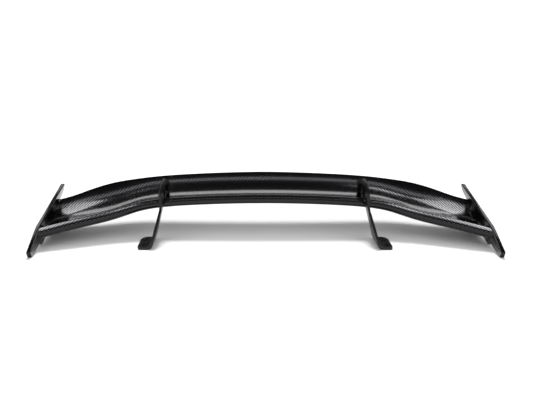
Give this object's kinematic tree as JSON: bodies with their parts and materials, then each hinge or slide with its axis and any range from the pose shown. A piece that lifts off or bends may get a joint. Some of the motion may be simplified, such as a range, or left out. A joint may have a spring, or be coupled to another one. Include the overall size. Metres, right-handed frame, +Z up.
{
  "type": "racing rear wing",
  "caption": "Full-width carbon-fibre rear wing with dropped ends, thick endplates and bent swan-neck uprights with an angle adjuster.",
  "frame": {"origin": "on the centre plane, below the middle of the wing, at the level of the feet and endplate bottoms", "axes": "+X across the car to the right-hand endplate, +Y from the leading edge to the trailing edge, +Z up"},
  "size_m": [1.5, 0.4356, 0.1835],
  "materials": {
    "gloss_carbon": "2x2 twill carbon laminate under clear gloss coat",
    "plain_carbon": "bare moulded carbon",
    "black_anodised": "satin black anodised plate",
    "bare_aluminium": "machined",
    "black_steel": "black oxide"
  },
  "bodies": {
    "necks": {"neck_L": "black_anodised", "pivot_bolt_L": "black_steel", "pivot_washer_in_L": "black_steel", "pivot_washer_out_L": "black_steel", "pivot_nut_L": "black_steel", "neck_R": "black_anodised", "pivot_bolt_R": "black_steel", "pivot_washer_in_R": "black_steel", "pivot_washer_out_R": "black_steel", "pivot_nut_R": "black_steel"},
    "blade": {"upper_skin": "gloss_carbon", "lower_skin": "gloss_carbon", "endplate_L": "gloss_carbon", "endplate_R": "gloss_carbon", "front_spar": "plain_carbon", "rear_spar": "plain_carbon", "rib_center": "plain_carbon", "rib_L1": "plain_carbon", "rib_R1": "plain_carbon", "rib_L2": "plain_carbon", "rib_R2": "plain_carbon", "end_rib_L": "plain_carbon", "end_rib_R": "plain_carbon", "mount_block_L": "bare_aluminium", "blade_rail_L": "black_anodised", "endplate_screw_L1": "black_steel", "endplate_screw_L2": "black_steel", "endplate_screw_L3": "black_steel", "rail_screw_L1": "black_steel", "rail_screw_L2": "black_steel", "clamp_bolt_L": "black_steel", "clamp_washer_in_L": "black_steel", "clamp_washer_out_L": "black_steel", "clamp_nut_L": "black_steel", "mount_block_R": "bare_aluminium", "blade_rail_R": "black_anodised", "endplate_screw_R1": "black_steel", "endplate_screw_R2": "black_steel", "endplate_screw_R3": "black_steel", "rail_screw_R1": "black_steel", "rail_screw_R2": "black_steel", "clamp_bolt_R": "black_steel", "clamp_washer_in_R": "black_steel", "clamp_washer_out_R": "black_steel", "clamp_nut_R": "black_steel"}
  },
  "joints": [
    {"name": "angle_of_attack", "type": "hinge", "parent": "necks", "child": "blade", "pos_m": [0, 0.04918, 0.137], "axis": [-1, 0, 0], "range_deg": [0, 8]}
  ]
}
